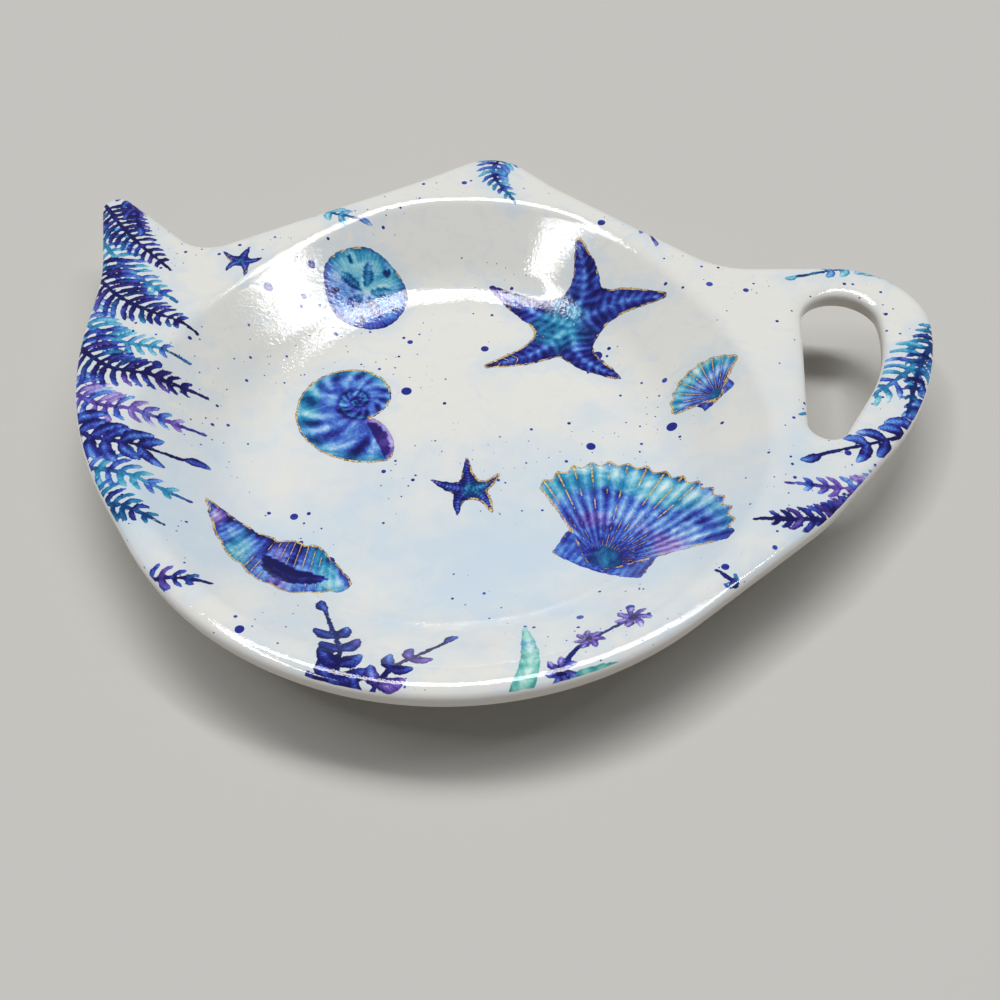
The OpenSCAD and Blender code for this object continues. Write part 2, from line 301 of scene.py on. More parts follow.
def moulding():
    """The white body: the edge's profile carried round the outline and the hole, the bowl's upper and lower
    profiles carried round the mouth, and flat faces between those loops, with every loop's points shared."""
    coarse, fine = 0.6, 0.5
    rim, inner, eye = spaced(outline, coarse), spaced(mouth, coarse), spaced(hole, fine)

    def side(shoulder):
        # The moulding's own edge starts under the print and stands a hair inside it
        seat, turns = 0.05, 7
        fallen = shoulder * (1 - np.cos(SHOULDER_END)) + ROUND_R * np.cos(SHOULDER_END)
        start = np.arccos((fallen - PRINT_T) / ROUND_R)
        low = np.linspace(0, np.pi / 2, turns)
        return np.vstack([upper_edge(shoulder, np.linspace(start, np.pi / 2, turns)),
                          np.c_[LOW_R * (1 - np.cos(low)), LOW_R * (1 - np.sin(low)) - WALL]]) + [seat, 0]

    outer_side, hole_side = side(SHOULDER_R), side(HOLE_SHOULDER_R)
    shell_low, shell_top = well_sections(WALL, 5, 14), well_sections(PRINT_T, 6, 14)
    points, quads, tris, count = [], [], [], 0

    def add(p, f):
        """Takes points and faces in, with the faces' numbers moved on past the points that are there."""
        nonlocal count
        points.append(p)
        (quads if f.shape[1] == 4 else tris).append(f + count)
        count += len(p)

    add(*carried(rim, outer_side))
    p, f = carried(eye, hole_side * [-1, 1])
    add(p, f[:, ::-1])
    add(*carried(inner, shell_low))
    p, f = carried(inner, shell_top)
    add(p, f[:, ::-1])

    def ring(loop, section):
        """The loop moved in by the section's inset."""
        return np.c_[loop[:, :2] - section[0] * loop[:, 2:], loop[:, 2:]]

    for row, shell, up in ((-1, shell_low, False), (0, shell_top, True)):
        loops = [ring(rim, outer_side[row]), ring(inner, shell[0]), ring(eye, -hole_side[row])]
        add(*capped(loops, outer_side[row][1], up))
        add(*capped([ring(inner, shell[-1])], shell[-1][1], up))
    return solid("moulding", *merged(np.vstack(points), np.vstack([halved(np.vstack(quads)), *tris])))


def foot():
    """The ring that the dish stands on: its section with rounded lower corners, turned round the middle. Its
    root ends half way up the wall."""
    steps, spread, r = 240, 0.1, FOOT_EDGE_R
    turn = np.linspace(0, 2 * np.pi, steps + 1)[:-1]
    circle = np.c_[0 * turn, 0 * turn, np.cos(turn), np.sin(turn)]
    root, slope = FOOT_H + WALL / 2, np.tan(FOOT_DRAFT)
    a = np.linspace(0, np.pi / 2 - FOOT_DRAFT, 6)
    outer, inner = FOOT_R, FOOT_R - FOOT_FACE
    section = np.vstack([
        [[inner - root * slope, root]],
        np.c_[inner + r * (1 - np.sin(a[::-1])) - spread, r * (1 - np.cos(a[::-1]))],
        np.c_[outer - r * (1 - np.sin(a)) + spread, r * (1 - np.cos(a))],
        [[outer + root * slope, root]]])
    # The first point comes once more, so that the ring is closed at its top, inside the moulding
    points, quads = carried(circle, np.c_[-section[:, 0], section[:, 1] - RIM_Z][[*range(len(section)), 0]])
    count = len(section) * len(circle)
    return solid("foot_ring", points[:count], quads[:, ::-1] % count)


# The print: motifs laid down one over the other, each as values at the sheet's points

class Print:
    """What the print holds at each point. ink is the distance inside the nearest motif, negative outside, and
    own the distance inside the topmost one. tone runs from pale to dark and hue from violet to turquoise.
    rib is the phase of fine stripes, vein their strength, and gild how much gold lines the edge."""

    # ink is told as far out as this, and looks are the values that a motif gives
    far_off = -3.0
    looks = ("tone", "hue", "rib", "vein", "gild")

    def __init__(self, x, y):
        self.x, self.y = x, y
        self.ink, self.own = np.full(len(x), self.far_off), np.full(len(x), self.far_off)
        self.tone, self.hue, self.rib, self.vein, self.gild = np.zeros((len(self.looks), len(x)))

    def near(self, points, reach):
        """The numbers of the sheet's points in a box round the given ones, as far out as ink is told."""
        points = np.atleast_2d(points)
        low, high = points.min(0) - reach + self.far_off, points.max(0) + reach - self.far_off
        return np.nonzero((self.x > low[0]) & (self.x < high[0]) & (self.y > low[1]) & (self.y < high[1]))[0]

    def lay(self, where, inside, **values):
        """Puts a motif on top where inside is over zero, and keeps the nearest one's distance elsewhere."""
        over = (inside > 0) | (inside > self.ink[where])
        spot = where[over]
        self.ink[spot] = np.maximum(self.ink[spot], inside[over])
        self.own[spot] = inside[over]
        for name in self.looks:
            getattr(self, name)[spot] = np.broadcast_to(values.get(name, 0.0), inside.shape)[over]


def curve(points, steps):
    """Points along a smooth line through the given ones, by cubic pieces with each point's slope taken
    from its two neighbours."""
    p = np.asarray(points, float)
    p = np.vstack([2 * p[0] - p[1], p, 2 * p[-1] - p[-2]])
    t = np.linspace(0, len(p) - 3, steps + 1)
    k = np.minimum(t.astype(int), len(p) - 4)
    u = (t - k)[:, None]
    a, b, c, d = p[k], p[k + 1], p[k + 2], p[k + 3]
    return 0.5 * (2 * b + (c - a) * u + (2 * a - 5 * b + 4 * c - d) * u ** 2
                  + (3 * b - a - 3 * c + d) * u ** 3)


def along(x, y, path):
    """For each point: its nearest place on the path as a share of the length, its distance from the path,
    and on which side it lies."""
    step = np.diff(path, axis=0)
    size = np.hypot(*step.T)
    run = np.r_[0, np.cumsum(size)]
    dx, dy = x[:, None] - path[:-1, 0], y[:, None] - path[:-1, 1]
    t = ((dx * step[:, 0] + dy * step[:, 1]) / size ** 2).clip(0, 1)
    gap = np.hypot(dx - t * step[:, 0], dy - t * step[:, 1])
    k = gap.argmin(1)
    row = np.arange(len(x))
    share = (run[k] + t[row, k] * size[k]) / run[-1]
    return share, gap[row, k], np.sign(step[k, 0] * dy[row, k] - step[k, 1] * dx[row, k])


def taper(share, width, swell=0.4, blunt=0.7):
    """Half width along a leaf: nothing at both ends and widest at the share swell."""
    s = np.where(share < swell, share / swell, (1 - share) / (1 - swell)).clip(0, 1)
    return width * np.sin(0.5 * np.pi * s) ** blunt


def blade(p, path, width, swell=0.4, blunt=0.7, tone=(0.8, 0.35), hue=0.0, veins=0.0, gild=0.0, spine=0.25):
    """A leaf or petal along a path, darker at its root and with a pale line down its middle."""
    line = curve(path, 24)
    where = p.near(line, width)
    share, gap, side = along(p.x[where], p.y[where], line)
    inside = taper(share, width, swell, blunt) - gap
    shade = tone[0] + (tone[1] - tone[0]) * share - spine * np.exp(-(gap / (0.2 * width + 0.08)) ** 2)
    p.lay(where, inside, tone=shade + 0.06 * side, hue=hue, rib=share * 9 - 1.4 * gap / width, vein=veins,
          gild=gild)


def stroke(p, path, width, end, tone, hue=0.0):
    """A brush line that thins from width to the share end of it."""
    line = curve(path, 30)
    where = p.near(line, width)
    share, gap, _ = along(p.x[where], p.y[where], line)
    p.lay(where, width * (1 - (1 - end) * share) - gap, tone=tone, hue=hue)


def berry(p, x, y, r, tone=0.8, hue=-0.4):
    """A round dot with a light spot."""
    where = p.near((x, y), r)
    far = np.hypot(p.x[where] - x, p.y[where] - y)
    shine = np.hypot(p.x[where] - x + 0.3 * r, p.y[where] - y - 0.3 * r)
    p.lay(where, r - far, tone=tone - 0.4 * np.exp(-(shine / (0.4 * r)) ** 2), hue=hue)


def pairs(p, path, count, first=0.12, last=0.9):
    """Places up a stem for pairs of leaves: share of the stem, point, direction and hand."""
    line = curve(path, 60)
    for n in range(count):
        share = first + (last - first) * n / count
        k = int(share * 58)
        ahead = line[k + 1] - line[k]
        for hand in (1, -1):
            yield n, share, line[k], np.arctan2(ahead[1], ahead[0]), hand


def leaf(p, root, turn, hand, length, width, **look):
    """One leaf that leaves its root in the direction turn and bends back to the stem."""
    root = np.asarray(root, float)
    mid = root + 0.5 * length * np.array([np.cos(turn + 0.2 * hand), np.sin(turn + 0.2 * hand)])
    tip = root + length * np.array([np.cos(turn), np.sin(turn)])
    blade(p, [root, mid, tip], width, **look)


def sprig(p, path, count, length, width, spread=48, hue=0.0, tone=(0.85, 0.4), fruit=0.0, veins=0.25):
    """A stem with pairs of leaves that get smaller to its tip, a leaf at the tip, and berries if fruit is
    their radius."""
    stroke(p, path, 0.34, 0.8, tone=0.75, hue=hue)
    for n, share, root, turn, hand in pairs(p, path, count):
        grown = length * (1 - 0.4 * share) * (1 + 0.08 * hand * (-1) ** n)
        leaf(p, root, turn + hand * np.radians(spread * (1 - 0.25 * share)), hand, grown,
             width * (1 - 0.3 * share), tone=tone, hue=hue + 0.25 * (-1) ** n, veins=veins)
        if fruit:
            away = turn + hand * np.radians(115)
            berry(p, *(root + fruit * 3.0 * np.array([np.cos(away), np.sin(away)])), fruit)
    line = curve(path, 60)
    ahead = line[-1] - line[-3]
    leaf(p, line[-1], np.arctan2(ahead[1], ahead[0]), 1, length * 0.6, width * 0.65, tone=tone, hue=hue,
         veins=veins)


def frond(p, path, count, length, hue=0.0, tone=0.7):
    """A rib with narrow leaflets that get shorter to its tip."""
    stroke(p, path, 0.38, 0.7, tone=tone + 0.1, hue=hue)
    for n, share, root, turn, hand in pairs(p, path, count, 0.08, 0.97):
        grown = length * (1 - share) ** 0.75 + 0.8
        leaf(p, root, turn + hand * np.radians(62 - 24 * share), hand, grown, 0.30 + 0.035 * grown,
             swell=0.35, blunt=0.45, tone=(tone + 0.15, tone - 0.3), hue=hue + 0.5 * np.sin(2.1 * n),
             spine=0.0)


def flower(p, x, y, r, petals=7):
    """Petals round a dot, the first one straight up."""
    for n in range(petals):
        turn = np.radians(90 + 360 * n / petals)
        leaf(p, (x, y), turn, 1, r, 0.2 * r, swell=0.6, tone=(0.75, 0.3), hue=-0.7)
    berry(p, x, y, 0.22 * r, tone=0.95, hue=-0.2)


def turned(p, where, x, y, aim):
    """The points' places in a motif's own frame: along its aim, and to the left of it."""
    dx, dy, a = p.x[where] - x, p.y[where] - y, np.radians(aim)
    return dx * np.cos(a) + dy * np.sin(a), dy * np.cos(a) - dx * np.sin(a)


def scallop(p, x, y, aim, r, ribs=15):
    """A fan shell: ribs that spread from the hinge, growth bands across them, a waved lip and two ears."""
    where = p.near((x, y), r * 1.2)
    u, v = turned(p, where, x, y, aim)
    ear = 0.24 * r
    for hand in (1, -1):
        flap = [u + ear * 0.45, ear * 0.85 - u, ear * 1.5 - hand * v, hand * v + ear * 0.2]
        p.lay(where, np.minimum.reduce(flap), tone=0.5 + 0.2 * u / ear, rib=hand * v / 0.9, vein=0.4,
              gild=0.8)
    far, turn, fan = np.hypot(u, v), np.arctan2(v, u), np.radians(64)
    lip = r * (1.0 - 0.14 * (turn / fan) ** 2 + 0.02 * np.cos(ribs * np.pi * turn / fan))
    inside = np.minimum(lip - far, (fan - abs(turn)) * far * 0.9 + 0.16 * r * np.exp(-far / r * 5))
    bands = 0.5 + 0.5 * np.cos(far / r * 17 + 1.2 * np.cos(turn * 3))
    shade = 0.2 + 0.5 * np.exp(-(far / r / 0.4) ** 2) + 0.42 * bands * (far / r) ** 1.3
    p.lay(where, inside, tone=shade, hue=0.6 * np.cos(far / r * 7.5), rib=ribs / 2 * (turn / fan) + 0.5,
          vein=np.minimum(far / r * 2.5, 1), gild=1.0)


def starfish(p, x, y, aim, r, tone=0.62):
    """Five tapering arms that blend where they meet, with a light ridge down each and bars across it."""
    where = p.near((x, y), r + 1)
    arms = []
    for n in range(5):
        a, bend, tip = np.radians(aim + 72 * n), 0.16 * np.sin(2.3 * n + 1), r * (1 - 0.1 * np.cos(1.9 * n))
        line = curve([(x, y), (x + 0.5 * tip * np.cos(a - bend), y + 0.5 * tip * np.sin(a - bend)),
                      (x + tip * np.cos(a + bend), y + tip * np.sin(a + bend))], 18)
        share, gap, _ = along(p.x[where], p.y[where], line)
        half = 0.225 * r * (1 - share) ** 0.9 + 0.045 * r
        arms.append((half - gap, np.exp(-(gap / (0.2 * half)) ** 2), share * 11 - 0.9 * gap / half))
    inside, ridge, bars = (np.array(part) for part in zip(*arms))
    pick = inside.argmax(0), np.arange(len(where))
    soft = 0.055 * r
    joined = soft * np.log(np.exp((inside / soft).clip(-20, 20)).sum(0)) - 0.2 * soft
    far = np.hypot(p.x[where] - x, p.y[where] - y) / r
    p.lay(where, joined, tone=tone + 0.2 * np.exp(-(far / 0.25) ** 2) - 0.34 * ridge[pick] + 0.12 * far,
          hue=0.9 - 1.5 * far, rib=bars[pick], vein=0.6, gild=0.9)


def coiled_shell(p, x, y, aim, r):
    """A coiled shell whose outline is a spiral, r * exp(grow * (angle - full turn)): flame stripes on the
    outer whorl, a dark line where the whorls meet, and an open mouth where the spiral ends."""
    grow = 0.19
    where = p.near((x, y), r * 1.3)
    u, v = turned(p, where, x, y, aim)
    far, turn = np.hypot(u, v), np.arctan2(v, u) % (2 * np.pi)
    outer = r * np.exp(grow * (turn - 2 * np.pi))
    tight = np.exp(-2 * np.pi * grow)
    lobe, middle = r * (1 - tight) / 2, r * (1 + tight) / 2
    mouth = np.minimum(lobe - np.hypot(u - middle, v * 1.9), v + 1.0)
    deep_in = lobe * 0.8 > np.hypot(u - middle, (v - 0.1) * 2.2)
    p.lay(where, mouth, tone=0.35 + 0.6 * deep_in, hue=-0.6, gild=1.0)
    whorl = np.ceil(np.log(np.maximum(far, 0.05) / outer) / (2 * np.pi * grow))
    edge = outer * np.exp(2 * np.pi * grow * whorl)
    deep = (edge - far) / edge / (1 - tight)
    seam = np.minimum(edge - far + 2 * (whorl > -0.5), far - edge * tight)
    flames = 0.5 + 0.5 * np.cos(12 * turn - 7 * deep + 0.8 * np.sin(5 * turn))
    shade = (0.2 + 0.55 * flames * np.exp(-((deep - 0.25) / 0.4) ** 2) + 0.25 * deep ** 2
             + 0.4 * np.exp(-(seam / 0.45) ** 2))
    p.lay(where, outer - far, tone=shade, hue=0.7 - 1.3 * deep, rib=9 * turn / np.pi - 2 * deep, vein=0.25,
          gild=1.0)


def whelk(p, path, width):
    """A pointed shell: whorls that swell along its axis with grooves between them, and a long mouth."""
    line = curve(path, 50)
    where = p.near(line, width * 1.4)
    share, gap, side = along(p.x[where], p.y[where], line)
    turns = 6.5 * share ** 0.75
    bulge = abs(np.sin(np.pi * (turns % 1))) ** 0.6
    half = width * np.minimum(share * 1.45, 1) ** 0.9 * (0.84 + 0.16 * bulge)
    half = half * np.where(share > 0.72, 1 - ((share - 0.72) / 0.3) ** 2 * 0.75, 1)
    across = side * gap / np.maximum(half, 0.2)
    groove = abs((turns + 0.16 * across) % 1 - 0.5) * 2
    shade = 0.3 + 0.32 * across ** 2 + 0.4 * groove ** 3 * (share < 0.74) + 0.14 * across
    p.lay(where, half - gap, tone=shade, hue=0.7 * np.cos(turns * 2 + across), rib=turns * 4 + across,
          vein=0.5, gild=1.0)
    aside = np.array([line[50, 1] - line[20, 1], line[20, 0] - line[50, 0]])
    aside = aside / np.hypot(*aside) * 0.3 * width
    blade(p, [line[28], line[37] + aside, line[47]], 0.3 * width, tone=(0.95, 0.85), hue=-0.4, gild=0.6,
          spine=0.1)


def sand_dollar(p, x, y, r):
    """A round flat shell with a flower of five leaves and five slots near its edge."""
    aim = 90
    where = p.near((x, y), r)
    u, v = turned(p, where, x, y, aim)
    far, turn = np.hypot(u, v), np.arctan2(v, u)
    p.lay(where, r * (1 + 0.02 * np.cos(5 * turn)) - far, tone=0.2 + 0.4 * (far / r) ** 4,
          hue=0.2 + 0.5 * np.cos(turn), rib=turn * 9, vein=0.3, gild=0.8)
    # Where each starts and ends on the radius, its half width, its turn from the flower's and its tones
    leaves, slots = (0.1, 0.72, 0.13, 0, (0.85, 0.5)), (0.62, 0.86, 0.06, 36, (0.95, 0.9))
    for n in range(5):
        for start, end, half, shift, tone in (leaves, slots):
            a = np.radians(aim + 72 * n + shift)
            ahead = r * np.array([np.cos(a), np.sin(a)])
            path = [(x, y) + ahead * s for s in (start, (start + end) / 2, end)]
            blade(p, path, half * r, swell=0.5, tone=tone, hue=0.4, veins=0.5)


def paint(p):
    """Lays the whole print, the growth along the rim first and the shells over it."""
    frond(p, [(-60, 30), (-52, 21), (-42, 14)], 12, 5.0, hue=0.7, tone=0.38)
    frond(p, [(-58, 13), (-50, 6), (-38, 4)], 12, 5.0, hue=0.6, tone=0.36)
    frond(p, [(-54, -3), (-46, -7), (-34, -6)], 12, 4.6, hue=-0.6, tone=0.38)
    frond(p, [(-50, -17), (-42, -18), (-32, -19)], 10, 4.4, hue=0.5, tone=0.4)
    frond(p, [(66, 14), (58, 5), (46, -1)], 12, 4.4, hue=0.6, tone=0.38)
    frond(p, [(62, -8), (54, -13), (43, -13)], 11, 4.2, hue=-0.5, tone=0.4)
    frond(p, [(-60, 36), (-54, 29), (-45, 21)], 13, 5.5, hue=-0.2)
    frond(p, [(-59, 22), (-50, 14), (-38, 9)], 15, 6.5)
    frond(p, [(-56, 6), (-47, 0), (-35, 0)], 14, 5.5, hue=-0.3)
    sprig(p, [(-52, -10), (-44, -13), (-35, -12)], 6, 5.5, 1.1, hue=0.1)
    frond(p, [(-47, -24), (-41, -23), (-33, -25)], 10, 4.5, hue=0.4)
    frond(p, [(-36, -38), (-32, -34), (-25, -33)], 8, 3.2, hue=-0.2, tone=0.6)
    sprig(p, [(-61, 45), (-56, 38), (-53, 31)], 4, 4.2, 0.9, hue=-0.2, fruit=0.4)
    sprig(p, [(68, 6), (60, -3), (48, -8)], 7, 5.2, 1.1, hue=0.1)
    frond(p, [(58, -14), (50, -18), (39, -19)], 14, 5.0, hue=-0.2)
    frond(p, [(69, 18), (64, 11), (60, 0)], 11, 3.6, hue=0.5)
    sprig(p, [(66, 28), (58, 30), (48, 27)], 6, 3.4, 0.8, hue=0.8, tone=(0.5, 0.2))
    frond(p, [(46, -34), (40, -32), (34, -27)], 8, 3.4, hue=0.3, tone=0.55)
    frond(p, [(2, 55), (1, 49), (5, 42)], 10, 3.6, hue=0.5, tone=0.5)
    sprig(p, [(-30, 42), (-24, 37), (-19, 36)], 4, 3.4, 0.7, hue=0.7, tone=(0.45, 0.2))
    sprig(p, [(30, 44), (26, 39), (27, 34)], 4, 3.0, 0.6, hue=-0.6, tone=(0.5, 0.3))
    blade(p, [(10, -50), (13, -42), (12, -33)], 1.2, tone=(0.4, 0.2), hue=1.8, veins=0.3)
    blade(p, [(10, -50), (20, -43), (33, -39)], 1.9, tone=(0.35, 0.2), hue=2.0, veins=0.3)
    stroke(p, [(15, -48), (18, -39), (24, -34)], 0.32, 0.85, tone=0.6)
    for x, y, r in ((16.6, -42.0, 2.1), (19.5, -37.0, 1.9), (24.4, -33.6, 2.2)):
        flower(p, x, y, r)
    sprig(p, [(-9, -49), (-8, -42), (-12, -33)], 5, 4.2, 1.15, hue=-0.2, tone=(0.9, 0.6), spread=50)
    sprig(p, [(-5, -49), (-2, -43), (3, -37)], 4, 3.6, 0.95, hue=-0.3, tone=(0.85, 0.5), spread=50)
    coiled_shell(p, -15, 5, -62, 12.5)
    starfish(p, 15, 23, 80, 14)
    scallop(p, 21, -21, 62, 17.5)
    whelk(p, [(-31, -17), (-23, -24), (-12, -27)], 5.0)
    sand_dollar(p, -17, 26, 6.3)
    scallop(p, 36, 5, 125, 6.5, 9)
    starfish(p, 3, -10, 30, 5.2, 0.7)
    starfish(p, -35, 24, 10, 3.4, 0.6)


# The printed face

def printed_face():
    """The upper face: a sheet over the plan that falls by the well's profile inside the mouth, with the
    rounded edge's upper arc carried round the outline and round the hole."""
    gap, lap = 0.352, 0.02

    def keep(x, y):
        return np.minimum(inside(outline, x, y) - edge_width(SHOULDER_R),
                          -inside(hole, x, y) - edge_width(HOLE_SHOULDER_R)) + lap

    def height(x, y):
        return -well_fall(inside(mouth, x, y))

    points, tris = sheet_over((-62, 67), (-48, 56), gap, keep, height)
    parts, faces, count = [points], [tris], len(points)
    edge_gap, turns = 0.4, np.radians([0, 2, 5, 9, 14, 20, 32, 45, 60, 75, 88])
    roll = [np.zeros(len(points))]
    for loop, hand, shoulder in ((outline, 1, SHOULDER_R), (hole, -1, HOLE_SHOULDER_R)):
        p, quads = carried(spaced(loop, edge_gap), upper_edge(shoulder, turns) * [hand, 1], count)
        parts.append(p)
        faces.append(halved(quads[:, ::hand]))
        roll.append(np.repeat(np.degrees(turns), len(p) // len(turns)))
        count += len(p)
    points = np.vstack(parts)
    piece = solid("printed_face", points, np.vstack(faces))
    picture = Print(points[:, 0], points[:, 1])
    paint(picture)
    values = {name: getattr(picture, name) for name in ("ink", "own", *Print.looks)}
    for name, value in {**values, "roll": np.concatenate(roll)}.items():
        piece.data.attributes.new(name, "FLOAT", "POINT").data.foreach_set("value", value.astype(np.float32))
    return piece


body = moulding()
ring = foot()
face = printed_face()
for piece, nodes, slot in ((body, ["dish_body"], "moulding"), (ring, ["dish_body"], "moulding"),
                           (face, ["decor_foil", "clear_glaze"], "print")):
    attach(piece, "root")
    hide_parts(*nodes)


# Materials

def linear(r, g, b):
    """A colour of 0 to 255 as it shows, turned to the linear values that a shader takes."""
    c = np.array([r, g, b]) / 255
    return (*np.where(c <= 0.04045, c / 12.92, ((c + 0.055) / 1.055) ** 2.4), 1.0)


class Sock:
    """A socket of a finish. An expression on sockets and numbers adds its Math nodes."""

    def __init__(self, finish, socket):
        self.finish, self.socket = finish, socket

    def maths(self, operation, *terms):
        return self.finish.node("Math", {"operation": operation}, dict(enumerate(terms)))

    def __add__(self, other):
        return self.maths("ADD", self, other)

    def __sub__(self, other):
        return self.maths("SUBTRACT", self, other)

    def __rsub__(self, other):
        return self.maths("SUBTRACT", other, self)

    def __mul__(self, other):
        return self.maths("MULTIPLY", self, other)

    def __pow__(self, other):
        return self.maths("POWER", self, other)

    __radd__ = __add__

    def most(self, other):
        return self.maths("MAXIMUM", self, other)

    def size(self):
        return self.maths("ABSOLUTE", self)

    def rise(self, low, high):
        """0 up to low, 1 from high on, and a smooth step between."""
        return self.finish.node("MapRange", {"interpolation_type": "SMOOTHSTEP"}, {0: self, 1: low, 2: high})


class Finish:
    """One material and its nodes."""

    def __init__(self, name):
        self.material = bpy.data.materials.new(name)
        self.material.use_nodes = True
        self.tree = self.material.node_tree
        self.shader = self.tree.nodes["Principled BSDF"]
        self.place = self.node("TexCoord", {}, {}, "Object")

    def node(self, kind, settings, sockets, out=0):
        """Adds a node of that kind, sets it, fills its sockets with values or links, and gives an output."""
        made = self.tree.nodes.new("ShaderNode" + kind)
        for name, value in settings.items():
            setattr(made, name, value)
        for key, value in sockets.items():
            self.fill(made.inputs[key], value)
        return Sock(self, made.outputs[out])

    def fill(self, socket, value):
        if isinstance(value, Sock):
            self.tree.links.new(value.socket, socket)
        else:
            socket.default_value = value

    def given(self, name):
        """A value that the mesh carries at its points."""
        return self.node("Attribute", {"attribute_name": name}, {}, "Fac")

    def noise(self, grain_mm, detail=3.0, rough=0.5, bend=0.0):
        sockets = {"Vector": self.place, "Scale": 1 / (grain_mm * MM), "Detail": detail, "Roughness": rough,
                   "Distortion": bend}
        return self.node("TexNoise", {}, sockets, "Fac")

    def ramp(self, factor, stops):
        """A colour by the factor, blended between stops [factor, colour of 0 to 255]."""
        shown = self.node("ValToRGB", {}, {0: factor})
        band = shown.socket.node.color_ramp
        while len(band.elements) < len(stops):
            band.elements.new(0.5)
        for element, (at, colour) in zip(band.elements, stops):
            element.position, element.color = at, linear(*colour)
        return shown

    def mix(self, factor, a, b):
        """Colour a where the factor is 0 and b where it is 1."""
        return self.node("Mix", {"data_type": "RGBA"}, {0: factor, 6: a, 7: b}, 2)

    def bump(self, height, lift_mm):
        return self.node("Bump", {}, {"Distance": lift_mm * MM, "Height": height})

    def set(self, **values):
        """Fills the shader's own sockets, named with _ for a space."""
        for name, value in values.items():
            self.fill(self.shader.inputs[name.replace("_", " ")], value)


MELAMINE_IOR, BUMP_MM = 1.55, 0.012
white = Finish("white_moulding")
speck = white.noise(0.9, 4, 0.6)
white.set(Base_Color=white.ramp(white.noise(14), [(0.35, (226, 220, 209)), (0.65, (233, 228, 218))]),
          Roughness=0.26 + speck * 0.12, IOR=MELAMINE_IOR, Normal=white.bump(speck, BUMP_MM))

# The glazed print. Its edges are ragged by two sizes of noise, and its wash is blotched and grained
printed = Finish("glazed_print")
names = ("ink", "own", *Print.looks, "roll")
ink, own, tone, hue, rib, vein, gild, roll = (printed.given(name) for name in names)
rag = (printed.noise(1.0) - 0.5) * 0.5 + (printed.noise(0.35, 2) - 0.5) * 0.22
blotch, cloud, grain = printed.noise(3.4, 4, 0.55, 1.2), printed.noise(1.3), printed.noise(0.22, 2)
drift = printed.noise(9, 2)
near_ink = ink + (blotch - 0.5) * 9 + 1.2
ink, own = ink + rag, (own + rag).most(0)
stripe = rib.maths("PINGPONG", rib, 0.5) * 2 - 0.5
# The colour pools along a motif's edge
pool = own.maths("EXPONENT", own * -4.5)
tone = (tone + (blotch - 0.5) * 1.1 + (cloud - 0.5) * 0.5 + (grain - 0.5) * 0.3 + vein * stripe * 0.42
        + pool * 0.26 + 0.12)
hue = hue + (drift - 0.5) * 2.0

BLUES = [(0, (228, 234, 246)), (0.2, (165, 198, 236)), (0.4, (98, 150, 220)), (0.6, (62, 92, 190)),
         (0.8, (40, 45, 138)), (1, (22, 21, 84))]
GREENS = [(0, (225, 240, 242)), (0.3, (140, 205, 220)), (0.6, (52, 150, 192)), (1, (16, 62, 122))]
VIOLETS = [(0, (236, 230, 246)), (0.3, (192, 174, 226)), (0.65, (112, 86, 182)), (1, (52, 36, 116))]
MINTS = [(0, (218, 242, 238)), (0.3, (158, 218, 205)), (0.6, (88, 178, 172)), (1, (24, 112, 128))]
# The gold ink from dark bronze to pale gold; its pale end is painted glints of the glitter's sparkle
GOLD_AND_GLINTS = [(0.3, (128, 92, 40)), (0.5, (206, 170, 92)), (0.66, (250, 232, 180))]

colour = printed.ramp(tone, BLUES)
for part, wash in ((hue.rise(0.25, 0.75), GREENS), ((hue * -1).rise(0.35, 0.85), VIOLETS),
                   (hue.rise(1.35, 1.6), MINTS)):
    colour = printed.mix(part, colour, printed.ramp(tone, wash))

# The ground is warm white. A pale blue wash lies round the motifs and in a band across the near half, whose
# middle is 0.024 m below the plan's
up_plan = printed.node("SeparateXYZ", {}, {0: printed.place}, 1)
band = (up_plan + 0.024).size() * -22 + 0.9 + (drift - 0.5) * 1.3 + (blotch - 0.5) * 0.5
ground = printed.mix(band.rise(0.2, 1.1).most(near_ink.rise(-2.0, 1.2) * 0.5),
                     linear(232, 231, 225), linear(205, 220, 231))

# Splashes: round drops, at most one in a cell and each with its own size and depth of colour. They come in
# clusters, where a wide noise is over rare
cluster_mm = 16
for cell_mm, largest, rare in ((5.5, 0.85, 0.49), (2.6, 0.32, 0.47), (1.5, 0.15, 0.51)):
    sockets = {"Vector": printed.place, "Scale": 1 / (cell_mm * MM)}
    far, tint, centre = (printed.node("TexVoronoi", {"voronoi_dimensions": "2D"}, sockets, answer)
                         for answer in ("Distance", "Color", "Position"))
    far, chance = far * cell_mm, printed.node("SeparateColor", {}, {0: tint}, 0)
    cluster = printed.node("TexNoise", {}, {"Vector": centre, "Scale": 1 / (cluster_mm * MM)}, "Fac")
    size = chance ** 3 * largest * cluster.rise(rare, rare + 0.02)
    drop = (size - far + (grain - 0.5) * 0.06).rise(0, 0.05)
    ground = printed.mix(drop, ground, printed.ramp(chance * 0.5 + blotch * 0.6, BLUES[2:5]))

colour = printed.mix(ink.rise(-0.04, 0.06), ground, colour)

# Gold lines some of the motifs' edges and ribs, broken and grained. Its fine grain runs from dark bronze to
# pale gold flecks: the gold is the ink's own colour, the pale flecks are painted glints for the glitter's
# sparkle
edges = (1 - (own - 0.16).size().rise(0.07, 0.16)) * (gild * (cloud * 0.6 + drift * 0.7)).rise(0.56, 0.64)
ribs = stripe.rise(0.36, 0.44) * (gild * vein.rise(0.2, 0.4) * (cloud * 0.5 + drift)).rise(0.80, 0.86)
colour = printed.mix(edges.most(ribs) * ink.rise(0, 0.04), colour, printed.ramp(grain, GOLD_AND_GLINTS))
# The print ends part way round the edge's roll, told in degrees, and the white moulding shows below it
colour = printed.mix((roll + (cloud - 0.5) * 14).rise(44, 50), colour, linear(236, 233, 228))
printed.set(Base_Color=colour, Roughness=0.045, IOR=MELAMINE_IOR,
            Normal=printed.bump(printed.noise(1.1, 2) + printed.noise(0.4, 2) * 1.1, BUMP_MM))

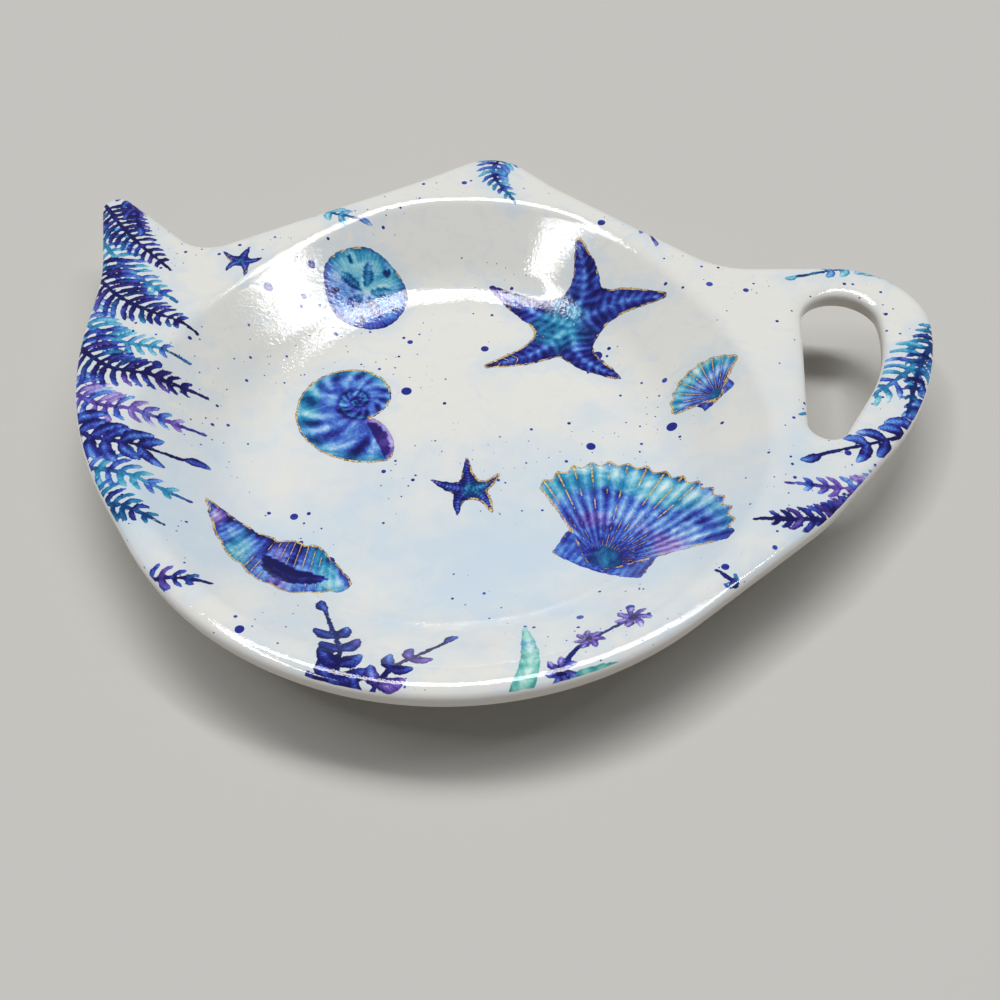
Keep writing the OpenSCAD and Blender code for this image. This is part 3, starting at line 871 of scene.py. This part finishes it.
for piece, finish in ((body, white), (ring, white), (face, printed)):
    piece.data.materials.append(finish.material)


# Floor, light and camera

# The floor reaches this far from the dish to each side, in metres
half = 3.0
plane = bpy.data.meshes.new("floor")
plane.from_pydata([(-half, -half, 0), (half, -half, 0), (half, half, 0), (-half, half, 0)], [],
                  [(0, 1, 2, 3)])
floor = bpy.data.objects.new("floor", plane)
bpy.context.collection.objects.link(floor)
stone = Finish("pale_floor")
stone.set(Base_Color=linear(196, 194, 189), Roughness=0.7)
plane.materials.append(stone.material)

world = bpy.data.worlds.new("room")
world.use_nodes = True
world.node_tree.nodes["Background"].inputs["Color"].default_value = (0.14, 0.144, 0.152, 1)
bpy.context.scene.world = world

# A curved row of small lamps over the dish, as points [x, y, width across the row] of a ceiling one unit up.
# The ceiling is at CEILING metres. The lamps are LAMP long and GAP apart in its units and shine with GLOW
ROW = np.array([
    (0.72, 0.14, 0.13), (0.62, 0.145, 0.11), (0.54, 0.175, 0.06), (0.44, 0.225, 0.08), (0.35, 0.26, 0.15),
    (0.26, 0.29, 0.20), (0.18, 0.315, 0.24), (0.08, 0.34, 0.27), (-0.02, 0.355, 0.28), (-0.12, 0.36, 0.28),
    (-0.22, 0.335, 0.23), (-0.34, 0.30, 0.15), (-0.44, 0.27, 0.09), (-0.51, 0.20, 0.09), (-0.55, 0.11, 0.11),
    (-0.57, 0.02, 0.13), (-0.57, -0.08, 0.12), (-0.53, -0.17, 0.11), (-0.44, -0.23, 0.09),
    (-0.36, -0.25, 0.06)])
CEILING, LAMP, GAP, GLOW = 3.0, 0.052, 0.08, 18.5
middle = Vector((*-PLAN_MIDDLE, RIM_Z)) * MM
run = np.r_[0, np.cumsum(np.linalg.norm(np.diff(ROW[:, :2], axis=0), axis=1))]
for n, at in enumerate(np.arange(0, run[-1], GAP)):
    x, y, width = (np.interp(at, run, ROW[:, k]) for k in range(3))
    ahead = [np.subtract(*np.interp([at + GAP / 2, at - GAP / 2], run, ROW[:, k])) for k in (0, 1)]
    spot = Vector((x, y, 1)) * CEILING
    lamp = bpy.data.lights.new(f"lamp_{n}", "AREA")
    lamp.shape, lamp.size, lamp.size_y = "RECTANGLE", LAMP * CEILING, width * CEILING
    lamp.energy = GLOW * np.pi * lamp.size * lamp.size_y
    holder = bpy.data.objects.new(f"lamp_{n}", lamp)
    back = spot.normalized()
    across = Vector((*ahead, 0)).cross(back).normalized()
    holder.matrix_world = Matrix.Translation(middle + spot) @ \
        Matrix((across.cross(back), across, back)).transposed().to_4x4()
    bpy.context.collection.objects.link(holder)

# The camera: its lens in pixels of a picture PICTURE wide, its place in mm from the well's middle, its aim
LENS_PX, PICTURE, FILM, STAND = 1049.02, 1000, 36, (15.229, -98.946, 101.234)
YAW, PITCH, ROLL = np.radians([-5.251, 51.503, -0.424])
forward = Vector((np.sin(YAW) * np.cos(PITCH), np.cos(YAW) * np.cos(PITCH), -np.sin(PITCH)))
flat_right = Vector((np.cos(YAW), -np.sin(YAW), 0))
flat_up = flat_right.cross(forward)
right = flat_right * np.cos(ROLL) + flat_up * np.sin(ROLL)
up = flat_up * np.cos(ROLL) - flat_right * np.sin(ROLL)
view = bpy.data.cameras.new("camera")
view.sensor_width, view.lens = FILM, LENS_PX * FILM / PICTURE
camera = bpy.data.objects.new("camera", view)
camera.matrix_world = Matrix.Translation(middle + Vector(STAND) * MM) @ \
    Matrix((right, up, -forward)).transposed().to_4x4()
bpy.context.collection.objects.link(camera)
bpy.context.scene.camera = camera

bpy.context.scene.view_settings.view_transform = "Standard"
